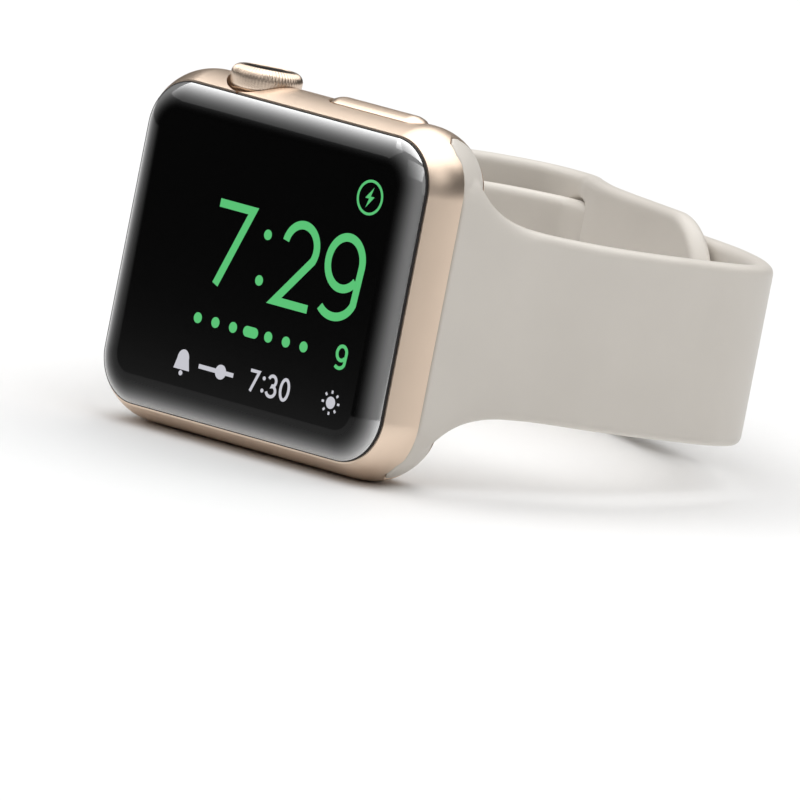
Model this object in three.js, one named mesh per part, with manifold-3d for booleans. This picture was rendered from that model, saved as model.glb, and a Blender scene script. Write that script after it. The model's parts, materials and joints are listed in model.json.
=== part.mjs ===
// A smartwatch standing on its side, crown up, with its strap closed in a loop behind it.
// Every piece is drawn in the watch's own axes, in millimetres: U runs towards the 6 o'clock
// strap, W towards the crown and N out of the screen, with N = 0 at the screen's seal.
// The finished watch is then leaned back until it rests on its case and on its strap.
import * as THREE from "three";
import { mergeVertices } from "three/addons/utils/BufferGeometryUtils.js";
import Module from "manifold-3d";

const wasm = await Module();
wasm.setup();

// ---- driving dimensions ----

// The case and glass share one cushion-shaped envelope: a rounded rectangle with elliptical sides.
const SHELL = { halfU: 16.51, halfW: 13.46, corner: 2, side: 4.74, rise: 5.6, band: 0.1, midN: -4.3 };
const CASE = { topN: -0.28, backN: -9, cavityN: -7.7, ledgeN: -8.2 };
const CAVITY = { halfU: 16.2, halfW: 15.3, corner: 2.5 };
const SCREEN_OPENING = { halfU: 17.9, halfW: 15.2, corner: 3.6, floorN: -1.6 };
const BACK_OPENING = { halfU: 16.2, halfW: 13.4, corner: 4 };
const BACK_POCKET = { halfU: 17.5, halfW: 14.5, corner: 5 };
const GLASS_BOTTOM = 0.06;
const FIT = 0.1;

const SLOT = {
  floorU: 17.3, bulbU: 19.5, lip: 0.6, frontChamfer: 1, backChamfer: 0.3,
  topN: -3.5, backN: -8.15, mouthTopN: -3.85, mouthBackN: -7.75,
};
const MOUTH_FILL_U = 20.9;
const LUG_FIT = 0.15;
const KEYWAY = { halfWidth: 0.75, depth: 0.35, startW: -2.4 };
const RELEASE = { u: 18.25, halfLength: 3.2, halfWidth: 0.62, outerN: -9.15, innerN: -8.72 };
const RELEASE_TRAVEL = 0.25;
const PLUNGER = { halfLength: 2.1, halfWidth: 0.5, tipN: -8.38, rootN: -6.6 };
const CORE = { halfLength: 8, fromN: -7.85, toN: -5.2, fromU: 17.55, toU: 19.2 };

const CROWN = { u: -8.7, n: -4.2, radius: 3.68, bottomW: 16.9, topW: 19.5, edge: 0.45, foot: 0.15 };
const CROWN_INSERT = { radius: 2.55, depth: 0.35 };
const CROWN_SHAFT = { radius: 1, endW: 12.6, socketW: 18.4 };
const CROWN_RECESS = { radius: 3.95, floorW: 16.4 };
const BUSHING = { radius: 1.75, bore: 1.07, seatRadius: 1.66, seatW: 14.95, fromW: 14.2, toW: 16.3 };
const BUSHING_FLANGE = { radius: 2.5, fromW: 14.6, toW: 15.15 };
const O_RING = { radius: 1.36, wire: 0.25, places: [15.3, 15.92] };
const CROWN_CLIP = { inner: 1.05, outer: 1.8, fromW: 13.35, toW: 13.6 };
const CROWN_PLATE = { halfU: 2.4, halfN: 1.5, fromW: 12, toW: 12.5 };
const CROWN_SWITCH = { halfU: 2, halfN: 1.4, fromW: 10.5, toW: 11.45 };
const ENCODER = { halfU: 1.2, halfN: 0.5, fromW: 12.7, toW: 14.1, u: -8.7, n: -6.7 };

const BUTTON = {
  u: 7.5, n: -4.2, halfLength: 6.35, halfWidth: 1.65, bottomW: 16.75, topW: 18.75, edge: 0.3,
};
const BUTTON_POCKET = { gap: 0.2, floorW: 16.3 };
const BUTTON_STEM = { halfU: 1.5, halfN: 0.6, endW: 14.65 };
const BUTTON_SEAL = { halfU: 2, halfN: 1.1, fromW: 15.65, toW: 16.2 };
const BUTTON_SWITCH = { halfU: 1.8, halfN: 1, fromW: 13.2, toW: 14.2 };
const BUTTON_BRACKET = { halfU: 4.5, halfN: 1.3, fromW: 12.5, toW: 13.05 };

const SPEAKER_SLOT = { halfLength: 2.6, halfWidth: 0.55 };
const SPEAKER_SLOTS = [-9.4, -3.2];
const MIC_HOLE = { radius: 0.5, u: 3.4, n: -4.3 };

// The parts inside, from the display down to the back.
const PANEL = { halfU: 17.6, halfW: 14.9, corner: 3.3, fromN: -1.05, toN: -0.05 };
const SHIELD = { halfU: 15.9, halfW: 14.6, corner: 2.2, fromN: -1.55, toN: -1.2 };
const BATTERY = { halfU: 15.5, halfW: 7.4, corner: 1.2, fromN: -5.5, toN: -1.8, w: 2.2 };
const TRAY = { halfU: 15.5, halfW: 7.6, corner: 1.2, fromN: -5.9, toN: -5.65, w: 2.2 };
const MODULE = { halfU: 15.6, halfW: 12.4, corner: 2, fromN: -6.85, toN: -6.1 };
const FLEX = { fromU: -15.95, toU: -15.7, fromW: -5, toW: 5, fromN: -6, toN: -1.65 };
const SPEAKER = { fromU: -14.6, toU: -1.2, fromW: -14.8, toW: -8.4, fromN: -5.9, toN: -1.8 };
const MICROPHONE = { fromU: 2, toU: 4.8, fromW: -15, toW: -13.6, fromN: -5.2, toN: -3.2 };
const HAPTIC = { fromU: -0.6, toU: 15.4, fromW: -13.2, toW: -6.2, fromN: -5.8, toN: -2.1 };
const HAPTIC_WALL = 0.35;
const HAPTIC_LID = { fromN: -2.02, toN: -1.75 };
const HAPTIC_GAP = { u: 1, w: 0.4, n: 0.3 };
const SENSOR_BOARD = { radius: 11.2, fromN: -7.4, toN: -7.1 };
const COIL = { radius: 11, bore: 8.2, fromN: -8.2, toN: -7.6 };
const MAGNET_RADIUS = 3.4;
const SCREW = { headRadius: 0.75, radius: 0.4, headFromN: -5.9, headToN: -5.55, toN: -3.2 };
const SCREW_PLACES = [[-13.2, 11.2], [13.2, 11.2], [-14.3, -6.8], [-2.6, -6.8]];

const CRYSTAL = { radius: 12.5, rimN: -9.15, apexN: -10.05, flat: 2.6, innerN: -8.55 };
const WINDOW = { radius: 2.5, ringRadius: 5.6, seatN: -8.9, baseN: -8.98 };

// Each strap flares where it meets the case, and its width then settles towards its rounded tip.
const STRAP = { thickness: 2.4, rootThickness: 2, gap: 0.3 };
const FLARE = { reach: 8.8, fade: 2.9, most: 4.9 };
const LONG = { middle: 9.3, end: 8.6, taperFrom: 66, taperTo: 84, tip: 7.5 };
const SHORT = { middle: 10.3, end: 11.3, taperFrom: 14, taperTo: 60, tip: 10 };
const HOLE = { radius: 1.7, pitch: 7.6, before: 2, after: 4 };
const PIN = {
  radius: 1.3, headRadius: 2.5, headBottom: 0.2, headHeight: 0.9, baseRadius: 3.4, baseHeight: 0.7,
};
const CLASP_DISTANCE = 78.3;
const PASSAGE = 0.2;

const COLOURS = {
  aluminium: [0xd9c2a8, 0.38, 0.9],
  steel: [0xb9bcc0, 0.3, 1],
  glass: [0x060607, 0.05, 0],
  black: [0x131416, 0.45, 0],
  seal: [0x101010, 0.8, 0],
  strap: [0xc3bcb1, 0.65, 0],
  ceramic: [0xd8d4ce, 0.2, 0],
  crystal: [0x2a2b2f, 0.1, 0],
  board: [0x16331f, 0.6, 0],
  copper: [0xb87333, 0.35, 1],
  cell: [0x3a3d42, 0.5, 0.1],
};

// ---- helpers ----

const U = new THREE.Vector3(1, 0, 0);
const W = new THREE.Vector3(0, 1, 0);
const N = new THREE.Vector3(0, 0, 1);
const watch = new THREE.Group();

function solid(geometry) {
  const plain = geometry.clone();
  plain.deleteAttribute("normal");
  plain.deleteAttribute("uv");
  const merged = mergeVertices(plain, 1e-4);
  const mesh = new wasm.Mesh({
    numProp: 3,
    vertProperties: new Float32Array(merged.attributes.position.array),
    triVerts: new Uint32Array(merged.index.array),
  });
  return new wasm.Manifold(mesh);
}

function geometryOf(body) {
  const mesh = body.getMesh();
  const geometry = new THREE.BufferGeometry();
  geometry.setAttribute("position", new THREE.BufferAttribute(mesh.vertProperties, 3));
  geometry.setIndex(new THREE.BufferAttribute(mesh.triVerts, 1));
  geometry.computeVertexNormals();
  return geometry;
}

function add(name, body, colour) {
  const [color, roughness, metalness] = COLOURS[colour];
  const material = new THREE.MeshStandardMaterial({ color, roughness, metalness });
  const mesh = new THREE.Mesh(geometryOf(body), material);
  mesh.name = name;
  watch.add(mesh);
}

function roundedRectangle(halfX, halfY, radius) {
  const shape = new THREE.Shape();
  const x = halfX - radius;
  const y = halfY - radius;
  shape.moveTo(halfX, -y);
  shape.absarc(x, y, radius, 0, Math.PI / 2);
  shape.absarc(-x, y, radius, Math.PI / 2, Math.PI);
  shape.absarc(-x, -y, radius, Math.PI, Math.PI * 1.5);
  shape.absarc(x, -y, radius, Math.PI * 1.5, Math.PI * 2);
  return shape;
}

// A prism whose outline lies in the screen's plane, between two heights along N.
function alongN(shape, fromN, toN, curveSegments = 5) {
  const options = { depth: toN - fromN, bevelEnabled: false, curveSegments };
  return solid(new THREE.ExtrudeGeometry(shape, options).translate(0, 0, fromN));
}

// A prism whose outline lies in the U, N plane, between two stations along W.
function alongW(shape, fromW, toW, curveSegments = 5) {
  const options = { depth: toW - fromW, bevelEnabled: false, curveSegments };
  const turn = new THREE.Matrix4().makeBasis(U, N, W.clone().negate());
  return solid(new THREE.ExtrudeGeometry(shape, options).applyMatrix4(turn).translate(0, toW, 0));
}

function block(fromU, toU, fromW, toW, fromN, toN) {
  const box = new THREE.BoxGeometry(toU - fromU, toW - fromW, toN - fromN);
  return solid(box.translate((fromU + toU) / 2, (fromW + toW) / 2, (fromN + toN) / 2));
}

function plate(outline, fromN, toN) {
  return alongN(roundedRectangle(outline.halfU, outline.halfW, outline.corner), fromN, toN);
}

// A block whose limits are a named piece's own.
function brick(piece) {
  return block(piece.fromU, piece.toU, piece.fromW, piece.toW, piece.fromN, piece.toN);
}

// A plate whose outline and heights are a named piece's own.
function layer(piece) {
  return plate(piece, piece.fromN, piece.toN).translate([0, piece.w ?? 0, 0]);
}

function rodAlongW(radius, fromW, toW, centre, segments = 24) {
  const rod = new THREE.CylinderGeometry(radius, radius, toW - fromW, segments);
  return solid(rod.translate(centre.u, (fromW + toW) / 2, centre.n));
}

function rodAlongN(radius, fromN, toN, segments = 24, u = 0, w = 0) {
  const rod = new THREE.CylinderGeometry(radius, radius, toN - fromN, segments).rotateX(Math.PI / 2);
  return solid(rod.translate(u, w, (fromN + toN) / 2));
}

// A turned piece about an axis along W: each point is a radius and a station along W.
function turned(points, segments = 24) {
  return new THREE.LatheGeometry(points.map(([r, w]) => new THREE.Vector2(r, w)), segments);
}

function grown(outline, by) {
  return { halfU: outline.halfU + by, halfW: outline.halfW + by, corner: outline.corner + by };
}

// ---- case, glass and back ----

function envelope() {
  const options = {
    depth: SHELL.band,
    bevelSize: SHELL.side,
    bevelThickness: SHELL.rise,
    bevelSegments: 9,
    curveSegments: 7,
  };
  const outline = roundedRectangle(SHELL.halfU, SHELL.halfW, SHELL.corner);
  const pillow = new THREE.ExtrudeGeometry(outline, options);
  return solid(pillow.translate(0, 0, SHELL.midN - SHELL.band / 2));
}

const FAR = 60;
const shell = envelope();

function slice(body, fromN, toN) {
  return body.intersect(block(-FAR, FAR, -FAR, FAR, fromN, toN));
}

// The 6 o'clock strap slot's outline in the U, N plane, drawn in from it by a clearance: an
// undercut channel that opens at the case's side.
function slotOutline(clearance, mouthU) {
  const c = clearance;
  const neckU = SLOT.bulbU + SLOT.lip;
  const points = [
    [SLOT.floorU + c + SLOT.frontChamfer, SLOT.topN - c],
    [SLOT.bulbU - c, SLOT.topN - c],
    [neckU - c, SLOT.mouthTopN - c],
    [mouthU, SLOT.mouthTopN - c],
    [mouthU, SLOT.mouthBackN + c],
    [neckU - c, SLOT.mouthBackN + c],
    [SLOT.bulbU - c, SLOT.backN + c],
    [SLOT.floorU + c + SLOT.backChamfer, SLOT.backN + c],
    [SLOT.floorU + c, SLOT.backN + c + SLOT.backChamfer],
    [SLOT.floorU + c, SLOT.topN - c - SLOT.frontChamfer],
  ];
  return new THREE.Shape(points.map(([u, n]) => new THREE.Vector2(u, n)));
}

// A piece drawn at the 6 o'clock end, or its mirror image at the 12 o'clock end.
function atEnd(side, body) {
  return side > 0 ? body : body.mirror([1, 0, 0]);
}

function pill(halfLength, halfWidth, grow = 0) {
  return roundedRectangle(halfLength + grow, halfWidth + grow, halfWidth + grow - 0.01);
}

// A pill-shaped prism along W, centred on the side button.
function buttonPrism(grow, fromW, toW) {
  const prism = alongW(pill(BUTTON.halfLength, BUTTON.halfWidth, grow), fromW, toW, 7);
  return prism.translate([BUTTON.u, 0, BUTTON.n]);
}

// A box along W about a centre, its outline grown by a clearance.
function boxAlongW(outline, grow, fromW, toW, centre) {
  const halfU = outline.halfU + grow;
  const halfN = outline.halfN + grow;
  return block(centre.u - halfU, centre.u + halfU, fromW, toW, centre.n - halfN, centre.n + halfN);
}

function releasePill(grow, fromN, toN) {
  return alongN(pill(RELEASE.halfLength, RELEASE.halfWidth, grow), fromN, toN).rotate([0, 0, 90])
    .translate([RELEASE.u, 0, 0]);
}

const OUTSIDE = 24;

function makeCase() {
  let body = slice(shell, CASE.backN, CASE.topN);
  const removed = [
    plate(SCREEN_OPENING, SCREEN_OPENING.floorN, 2),
    plate(CAVITY, CASE.cavityN, 2),
    plate(BACK_OPENING, CASE.ledgeN - 0.5, 0),
    plate(BACK_POCKET, CASE.backN - 1, CASE.ledgeN),
    rodAlongW(CROWN_RECESS.radius, CROWN_RECESS.floorW, OUTSIDE, CROWN, 32),
    rodAlongW(BUSHING.radius + FIT, CAVITY.halfW - 1, OUTSIDE, CROWN),
    buttonPrism(BUTTON_POCKET.gap, BUTTON_POCKET.floorW, OUTSIDE),
    boxAlongW(BUTTON_SEAL, FIT, BUTTON_SEAL.fromW - FIT, OUTSIDE, BUTTON),
    boxAlongW(BUTTON_STEM, FIT, CAVITY.halfW - 1, OUTSIDE, BUTTON),
    rodAlongW(MIC_HOLE.radius, -OUTSIDE, 1 - CAVITY.halfW, MIC_HOLE, 12),
  ];
  for (const slotU of SPEAKER_SLOTS) {
    const outline = pill(SPEAKER_SLOT.halfLength, SPEAKER_SLOT.halfWidth);
    removed.push(alongW(outline, -OUTSIDE, 1 - CAVITY.halfW, 4).translate([slotU, 0, SHELL.midN]));
  }
  const keyN = SLOT.backN - KEYWAY.depth;
  const key = [RELEASE.u - KEYWAY.halfWidth, RELEASE.u + KEYWAY.halfWidth];
  for (const side of [-1, 1]) {
    removed.push(atEnd(side, alongW(slotOutline(0, OUTSIDE), -OUTSIDE, OUTSIDE)));
    removed.push(atEnd(side, block(...key, KEYWAY.startW, OUTSIDE, keyN, SLOT.backN + 0.2)));
    removed.push(atEnd(side, releasePill(FIT, CASE.backN - 1, SLOT.backN + 0.2)));
  }
  for (const piece of removed) {
    body = body.subtract(piece);
  }
  return body;
}

add("case_body", makeCase(), "aluminium");
add("cover_glass", slice(shell, GLASS_BOTTOM, 3), "glass");

const SEAL_RING = { halfU: 19.5, halfW: 16.4, corner: 5 };
const sealRing = plate(SEAL_RING, CASE.topN + 0.05, 0).subtract(plate(grown(SEAL_RING, -1.4), -1, 1));
add("glass_gasket", sealRing, "seal");

add("display_panel", layer(PANEL), "black");
add("display_shield", layer(SHIELD), "steel");
add("battery", layer(BATTERY), "cell");
add("battery_tray", layer(TRAY), "steel");
add("system_module", layer(MODULE), "black");
add("display_flex", brick(FLEX), "copper");
add("speaker_module", brick(SPEAKER), "black");
add("microphone", brick(MICROPHONE), "steel");

// The haptic engine: a can, its lid and the weight that shuttles along U inside it.
const hapticInside = {
  fromU: HAPTIC.fromU + HAPTIC_WALL,
  toU: HAPTIC.toU - HAPTIC_WALL,
  fromW: HAPTIC.fromW + HAPTIC_WALL,
  toW: HAPTIC.toW - HAPTIC_WALL,
  fromN: HAPTIC.fromN + HAPTIC_WALL,
  toN: HAPTIC.toN + 1,
};
const hapticMass = {
  fromU: hapticInside.fromU + HAPTIC_GAP.u,
  toU: hapticInside.toU - HAPTIC_GAP.u,
  fromW: hapticInside.fromW + HAPTIC_GAP.w,
  toW: hapticInside.toW - HAPTIC_GAP.w,
  fromN: hapticInside.fromN + HAPTIC_GAP.n,
  toN: HAPTIC.toN - HAPTIC_GAP.n,
};
add("haptic_housing", brick(HAPTIC).subtract(brick(hapticInside)), "steel");
add("haptic_cover", brick({ ...HAPTIC, ...HAPTIC_LID }), "steel");
add("haptic_mass", brick(hapticMass), "cell");

// The back: a seal, a cover with a round opening, and the domed crystal with its four windows.
const BACK_COVER = { halfU: 17.35, halfW: 14.35, corner: 4.85, fromN: -9.1, toN: -8.5 };
const backRing = plate(grown(BACK_POCKET, -0.3), -8.44, -8.26);
const coverSealInside = plate({ halfU: 15.9, halfW: 13.1, corner: 3.8 }, -9, -8);
add("back_gasket", backRing.subtract(coverSealInside), "seal");
const backPlate = plate(BACK_COVER, BACK_COVER.fromN, BACK_COVER.toN);
const crystalHole = rodAlongN(CRYSTAL.radius + FIT, -11, -8, 36);
add("back_cover", backPlate.subtract(crystalHole), "ceramic");

function crystalDome() {
  const rise = CRYSTAL.rimN - CRYSTAL.apexN;
  const sphere = (CRYSTAL.radius ** 2 + rise ** 2) / (2 * rise);
  const profile = [[0, -CRYSTAL.innerN], [CRYSTAL.radius, -CRYSTAL.innerN]];
  const steps = 4;
  for (let i = 0; i <= steps; i += 1) {
    const r = CRYSTAL.radius + (CRYSTAL.flat - CRYSTAL.radius) * (i / steps);
    profile.push([r, -CRYSTAL.apexN - sphere + Math.sqrt(sphere ** 2 - r ** 2)]);
  }
  profile.push([0, profile[profile.length - 1][1]]);
  return solid(turned(profile, 36).rotateX(-Math.PI / 2));
}

const dome = crystalDome();
let crystal = dome;
for (let i = 0; i < 4; i += 1) {
  const angle = (i * Math.PI) / 2;
  const u = WINDOW.ringRadius * Math.cos(angle);
  const w = WINDOW.ringRadius * Math.sin(angle);
  crystal = crystal.subtract(rodAlongN(WINDOW.radius + FIT, -11, WINDOW.seatN, 24, u, w));
  const lens = dome.intersect(rodAlongN(WINDOW.radius, -11, WINDOW.baseN, 24, u, w));
  add(`sensor_window_${i + 1}`, lens, "glass");
}
add("back_crystal", crystal, "crystal");
add("sensor_board", rodAlongN(SENSOR_BOARD.radius, SENSOR_BOARD.fromN, SENSOR_BOARD.toN, 32), "board");
const coilBore = rodAlongN(COIL.bore, COIL.fromN - 1, COIL.toN + 1, 32);
add("charging_coil", rodAlongN(COIL.radius, COIL.fromN, COIL.toN, 32).subtract(coilBore), "copper");
add("alignment_magnet", rodAlongN(MAGNET_RADIUS, COIL.fromN, COIL.toN), "steel");

SCREW_PLACES.forEach(([u, w], i) => {
  const head = rodAlongN(SCREW.headRadius, SCREW.headFromN, SCREW.headToN, 16, u, w);
  const shank = rodAlongN(SCREW.radius, SCREW.headToN - 0.05, SCREW.toN, 12, u, w);
  add(`bracket_screw_${i + 1}`, head.add(shank), "steel");
});

// ---- crown ----

// A turned piece about the crown's axis.
function crownTurned(points, segments = 24) {
  return solid(turned(points, segments).translate(CROWN.u, 0, CROWN.n));
}

function makeCrown() {
  const c = CROWN;
  const socket = CROWN_SHAFT.radius + FIT;
  const well = c.topW - CROWN_INSERT.depth;
  return crownTurned([
    [socket, c.bottomW],
    [c.radius - c.foot, c.bottomW],
    [c.radius, c.bottomW + c.foot],
    [c.radius, c.topW - c.edge],
    [c.radius - c.edge * 0.3, c.topW - c.edge * 0.3],
    [c.radius - c.edge, c.topW],
    [CROWN_INSERT.radius + FIT, c.topW],
    [CROWN_INSERT.radius + FIT, well],
    [0, well],
    [0, CROWN_SHAFT.socketW + FIT],
    [socket, CROWN_SHAFT.socketW + FIT],
    [socket, c.bottomW],
  ], 36);
}

add("crown_knob", makeCrown(), "aluminium");
const insertBottom = CROWN.topW - CROWN_INSERT.depth + 0.06;
const insert = rodAlongW(CROWN_INSERT.radius, insertBottom, CROWN.topW - 0.05, CROWN, 32);
add("crown_insert", insert, "black");
const shaft = rodAlongW(CROWN_SHAFT.radius, CROWN_SHAFT.endW, CROWN_SHAFT.socketW, CROWN);
add("crown_shaft", shaft, "steel");
O_RING.places.forEach((place, i) => {
  const section = [];
  for (let k = 0; k <= 6; k += 1) {
    const angle = (k * Math.PI) / 3;
    section.push([O_RING.radius + O_RING.wire * Math.cos(angle), place + O_RING.wire * Math.sin(angle)]);
  }
  add(`crown_oring_${i + 1}`, crownTurned(section, 16), "seal");
});
add("crown_bushing", crownTurned([
  [BUSHING.bore, BUSHING.fromW],
  [BUSHING.radius, BUSHING.fromW],
  [BUSHING.radius, BUSHING_FLANGE.fromW],
  [BUSHING_FLANGE.radius, BUSHING_FLANGE.fromW],
  [BUSHING_FLANGE.radius, BUSHING_FLANGE.toW],
  [BUSHING.radius, BUSHING_FLANGE.toW],
  [BUSHING.radius, BUSHING.toW],
  [BUSHING.seatRadius, BUSHING.toW],
  [BUSHING.seatRadius, BUSHING.seatW],
  [BUSHING.bore, BUSHING.seatW],
  [BUSHING.bore, BUSHING.fromW],
]), "steel");
add("crown_clip", crownTurned([
  [CROWN_CLIP.inner, CROWN_CLIP.fromW],
  [CROWN_CLIP.outer, CROWN_CLIP.fromW],
  [CROWN_CLIP.outer, CROWN_CLIP.toW],
  [CROWN_CLIP.inner, CROWN_CLIP.toW],
  [CROWN_CLIP.inner, CROWN_CLIP.fromW],
]), "steel");
add("crown_thrust_plate", boxAlongW(CROWN_PLATE, 0, CROWN_PLATE.fromW, CROWN_PLATE.toW, CROWN), "steel");
add("crown_switch", boxAlongW(CROWN_SWITCH, 0, CROWN_SWITCH.fromW, CROWN_SWITCH.toW, CROWN), "black");
add("encoder_sensor", boxAlongW(ENCODER, 0, ENCODER.fromW, ENCODER.toW, ENCODER), "black");

// ---- side button ----

// A box behind the side button, its outline grown by a clearance.
function buttonBox(piece, fromW, toW, grow = 0) {
  return boxAlongW(piece, grow, fromW, toW, BUTTON);
}

let cap = buttonPrism(0, BUTTON.bottomW, BUTTON.topW - BUTTON.edge);
cap = cap.add(buttonPrism(-BUTTON.edge, BUTTON.bottomW + BUTTON.edge, BUTTON.topW));
cap = cap.add(buttonBox(BUTTON_STEM, BUTTON_STEM.endW, BUTTON.bottomW + 0.2));
add("side_button_cap", cap, "aluminium");
const sealOutside = buttonBox(BUTTON_SEAL, BUTTON_SEAL.fromW, BUTTON_SEAL.toW);
const sealInside = buttonBox(BUTTON_STEM, BUTTON_SEAL.fromW - 1, BUTTON_SEAL.toW + 1, FIT);
add("side_button_gasket", sealOutside.subtract(sealInside), "seal");
add("side_button_switch", buttonBox(BUTTON_SWITCH, BUTTON_SWITCH.fromW, BUTTON_SWITCH.toW), "black");
const bracket = buttonBox(BUTTON_BRACKET, BUTTON_BRACKET.fromW, BUTTON_BRACKET.toW);
add("side_button_bracket", bracket, "steel");

// ---- strap release buttons ----

for (const [side, hour] of [[-1, 12], [1, 6]]) {
  const press = releasePill(0, RELEASE.outerN, RELEASE.innerN);
  add(`release_button_${hour}`, atEnd(side, press), "aluminium");
}

// ---- strap ----

function at(u, n) {
  return new THREE.Vector3(u, 0, n);
}

// The outside line of each strap, from its slot. The rear stretch is one straight line, where the
// long strap lies outside the short one up to the clasp and inside it from there on.
const REAR_SLOPE = 0.4;
const REAR_U = 6;
const REAR_N = -56.8;
const LAYER = STRAP.thickness + STRAP.gap;

function rear(u, inward) {
  const scale = 1 / Math.hypot(1, REAR_SLOPE);
  return at(u + inward * -REAR_SLOPE * scale, REAR_N + REAR_SLOPE * (u - REAR_U) + inward * scale);
}

const longLine = new THREE.CatmullRomCurve3([
  at(21.25, -4), at(22.55, -8), at(25.3, -15), at(28.3, -20.4), at(29.9, -26), at(30.45, -32),
  at(30.6, -37.5), at(28.9, -42.6), at(24.6, -47.2), rear(16, 0), rear(6, 0), rear(-4, 0),
  rear(-9, 0.3), rear(-13.5, LAYER / 2), rear(-18, LAYER - 0.3), at(-22.2, -62.6), at(-25.4, -59.6),
  at(-27.6, -54.5), at(-28.7, -49), at(-29, -44),
], false, "centripetal");
const shortLine = new THREE.CatmullRomCurve3([
  at(-21.25, -4), at(-22.55, -8), at(-25.6, -16), at(-29, -26), at(-31.2, -38), at(-31.7, -48),
  at(-31, -56), at(-28.6, -62.2), at(-24.6, -66), rear(-18, 0.3), rear(-13.5, LAYER / 2),
  rear(-9, LAYER - 0.3), rear(-4, LAYER), rear(6, LAYER), rear(16.5, LAYER + 0.2),
], false, "centripetal");

const mix = THREE.MathUtils.lerp;
const smooth = THREE.MathUtils.smoothstep;

// Half the strap's width at a distance from its slot: the flare beside the case, a slight taper and
// a tip with rounded corners.
function halfWidth(shape, distance, length) {
  const flare = Math.min(FLARE.reach * Math.exp(-distance / FLARE.fade), FLARE.most);
  const taper = (shape.end - shape.middle) * smooth(distance, shape.taperFrom, shape.taperTo);
  const fromTip = Math.max(shape.tip - (length - distance), 0);
  const tip = Math.sqrt(Math.max(shape.tip ** 2 - fromTip ** 2, 0.2)) - shape.tip;
  return shape.middle + flare + taper + tip;
}

function thicknessAt(distance) {
  return mix(STRAP.rootThickness, STRAP.thickness, smooth(distance, 5, 11));
}

// A ribbon: a box bent along a line, with its outer face on the line.
function ribbon(line, side, stations, shape, clearance = 0) {
  const length = line.getLength();
  const box = new THREE.BoxGeometry(1, 1, 1, stations, 1, 2);
  const place = box.attributes.position;
  for (let i = 0; i < place.count; i += 1) {
    const along = Math.min(Math.max(place.getX(i) + 0.5, 0), 1);
    const distance = along * length;
    const inward = W.clone().cross(line.getTangentAt(along)).multiplyScalar(side);
    const depth = mix(-clearance, thicknessAt(distance) + clearance, 0.5 + place.getY(i));
    const width = 2 * (halfWidth(shape, distance, length) + clearance);
    const point = line.getPointAt(along).addScaledVector(inward, depth);
    place.setXYZ(i, point.x, place.getZ(i) * width, point.z);
  }
  return side > 0 ? solid(box) : solid(reversed(box));
}

// The left-hand ribbon bends the box the other way, which turns its triangles inside out.
function reversed(geometry) {
  const index = geometry.index.array;
  for (let i = 0; i < index.length; i += 3) {
    const first = index[i];
    index[i] = index[i + 2];
    index[i + 2] = first;
  }
  return geometry;
}

// The strap's end: it fills the slot, flush with the case, and has a pocket for its stiff core.
function lug(side) {
  const prism = alongW(slotOutline(LUG_FIT, MOUTH_FILL_U), -OUTSIDE, OUTSIDE);
  const reach = [-CORE.halfLength, CORE.halfLength];
  const pocket = block(CORE.fromU - 1, CORE.toU, ...reach, CORE.fromN - 1, CORE.toN);
  return atEnd(side, prism.intersect(shell).subtract(pocket));
}

// Stands a piece drawn along N on the strap's outer face at the clasp, or a distance from it.
function onLine(line, side, distance) {
  const along = distance / line.getLength();
  const out = W.clone().cross(line.getTangentAt(along)).multiplyScalar(-side);
  const turn = new THREE.Matrix4().makeBasis(out.clone().cross(W).negate(), W, out);
  return turn.setPosition(line.getPointAt(along));
}

function peg(matrix, radius, from, to, segments = 20) {
  const rod = new THREE.CylinderGeometry(radius, radius, to - from, segments).rotateX(Math.PI / 2);
  return solid(rod.translate(0, 0, (from + to) / 2).applyMatrix4(matrix));
}

const clasp = onLine(longLine, 1, CLASP_DISTANCE);

let longStrap = ribbon(longLine, 1, 72, LONG).add(lug(1));
for (let i = -HOLE.before; i <= HOLE.after; i += 1) {
  const place = onLine(longLine, 1, CLASP_DISTANCE + i * HOLE.pitch);
  longStrap = longStrap.subtract(peg(place, HOLE.radius, -5, 1));
}
add("strap_long", longStrap, "strap");

let shortStrap = ribbon(shortLine, -1, 60, SHORT).add(lug(-1));
shortStrap = shortStrap.subtract(ribbon(longLine, 1, 72, LONG, PASSAGE));
shortStrap = shortStrap.subtract(peg(clasp, PIN.radius + FIT, -8, -1));
const pinBaseTop = -LAYER - STRAP.thickness + PIN.baseHeight;
shortStrap = shortStrap.subtract(peg(clasp, PIN.baseRadius + FIT, -9, pinBaseTop + FIT));
add("strap_short", shortStrap, "strap");

let pin = peg(clasp, PIN.radius, pinBaseTop - 0.1, PIN.headBottom + 0.1);
pin = pin.add(peg(clasp, PIN.headRadius, PIN.headBottom, PIN.headBottom + PIN.headHeight));
pin = pin.add(peg(clasp, PIN.baseRadius, pinBaseTop - PIN.baseHeight, pinBaseTop));
add("strap_pin", pin, "steel");

// A block around the plunger's middle, grown by a clearance and reaching between two heights.
function plungerBlock(grow, fromN, toN) {
  const halfU = PLUNGER.halfWidth + grow;
  const halfW = PLUNGER.halfLength + grow;
  return block(RELEASE.u - halfU, RELEASE.u + halfU, -halfW, halfW, fromN, toN);
}

const coreReach = CORE.halfLength - FIT;
const coreBar = block(CORE.fromU, CORE.toU - FIT, -coreReach, coreReach, CORE.fromN, CORE.toN - FIT)
  .subtract(plungerBlock(FIT, CORE.fromN - 1, PLUNGER.rootN + RELEASE_TRAVEL + FIT));
for (const [side, hour] of [[-1, 12], [1, 6]]) {
  add(`lug_core_${hour}`, atEnd(side, coreBar), "steel");
  add(`lug_plunger_${hour}`, atEnd(side, plungerBlock(0, PLUNGER.tipN, PLUNGER.rootN)), "steel");
}

// ---- stand the watch on its side ----

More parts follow.
